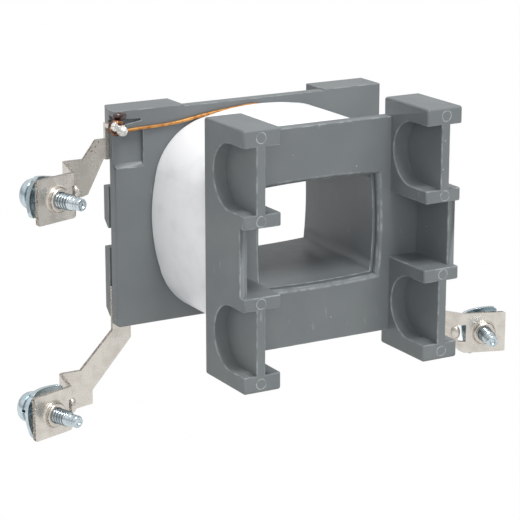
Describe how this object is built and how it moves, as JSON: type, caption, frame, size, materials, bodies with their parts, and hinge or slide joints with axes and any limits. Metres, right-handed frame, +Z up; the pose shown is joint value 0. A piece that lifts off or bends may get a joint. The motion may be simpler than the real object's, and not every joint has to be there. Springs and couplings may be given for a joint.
{
  "type": "contactor coil",
  "caption": "Contactor coil: taped winding between a moulded front frame and a rear flange, with bent screw terminals for the supply wires.",
  "frame": {"origin": "on the axis of the core window, in the front plane of the frame bars", "axes": "+Y along the window from the front frame to the rear flange, +Z up with the soldered post at the top left, +X to the right seen from the front"},
  "size_m": [0.127, 0.0523, 0.0731],
  "materials": {
    "grey_moulding": "moulded, slightly satin",
    "white_tape": "woven polyester tape, shellac free",
    "paper": "pressed insulating paper",
    "enamelled_copper": null,
    "nickel_plate": "nickel plated steel strip",
    "zinc_plate": "bright zinc plated steel",
    "solder": null,
    "varnish": "dark shellac varnish"
  },
  "bodies": {
    "coil": {"front_frame": "grey_moulding", "bobbin": "grey_moulding", "core_insulation": "paper", "winding": "enamelled_copper", "front_end_washer": "paper", "rear_end_washer": "paper", "tape": "white_tape", "finish_lead": "enamelled_copper", "start_lead": "enamelled_copper", "link_wire": "enamelled_copper", "post_solder": "solder", "varnish_drop": "varnish", "upper_left_terminal": "nickel_plate", "lower_left_terminal": "nickel_plate", "lower_right_terminal": "nickel_plate", "upper_left_solder": "solder", "lower_left_solder": "solder", "lower_right_solder": "solder"},
    "upper_left_washers": {"upper_left_clamp_washer": "zinc_plate", "upper_left_lock_washer": "zinc_plate"},
    "upper_left_screw": {"upper_left_screw": "zinc_plate"},
    "lower_left_washers": {"lower_left_clamp_washer": "zinc_plate", "lower_left_lock_washer": "zinc_plate"},
    "lower_left_screw": {"lower_left_screw": "zinc_plate"},
    "lower_right_washers": {"lower_right_clamp_washer": "zinc_plate", "lower_right_lock_washer": "zinc_plate"},
    "lower_right_screw": {"lower_right_screw": "zinc_plate"}
  },
  "joints": [
    {"name": "upper_left_travel", "type": "slide", "parent": "coil", "child": "upper_left_washers", "axis": [-0.3256, 0.9455, 0], "range_m": [-0.0005, 0.003]},
    {"name": "upper_left_turn", "type": "hinge", "parent": "upper_left_washers", "child": "upper_left_screw", "pos_m": [-0.0504, 0.03976, 0.0084], "axis": [-0.3256, 0.9455, 0], "range_deg": [-310, 1810]},
    {"name": "lower_left_travel", "type": "slide", "parent": "coil", "child": "lower_left_washers", "axis": [-0.3256, 0.9455, 0], "range_m": [-0.0005, 0.003]},
    {"name": "lower_left_turn", "type": "hinge", "parent": "lower_left_washers", "child": "lower_left_screw", "pos_m": [-0.0525, 0.03976, -0.0397], "axis": [-0.3256, 0.9455, 0], "range_deg": [-310, 1810]},
    {"name": "lower_right_travel", "type": "slide", "parent": "coil", "child": "lower_right_washers", "axis": [0.3256, 0.9455, 0], "range_m": [-0.0005, 0.003]},
    {"name": "lower_right_turn", "type": "hinge", "parent": "lower_right_washers", "child": "lower_right_screw", "pos_m": [0.0627, 0.03976, -0.0388], "axis": [0.3256, 0.9455, 0], "range_deg": [-310, 1810]}
  ],
  "couplings": [
    {"joint": "upper_left_turn", "follows": "upper_left_travel", "rad_per_m": 10472},
    {"joint": "lower_left_turn", "follows": "lower_left_travel", "rad_per_m": 10472},
    {"joint": "lower_right_turn", "follows": "lower_right_travel", "rad_per_m": 10472}
  ]
}
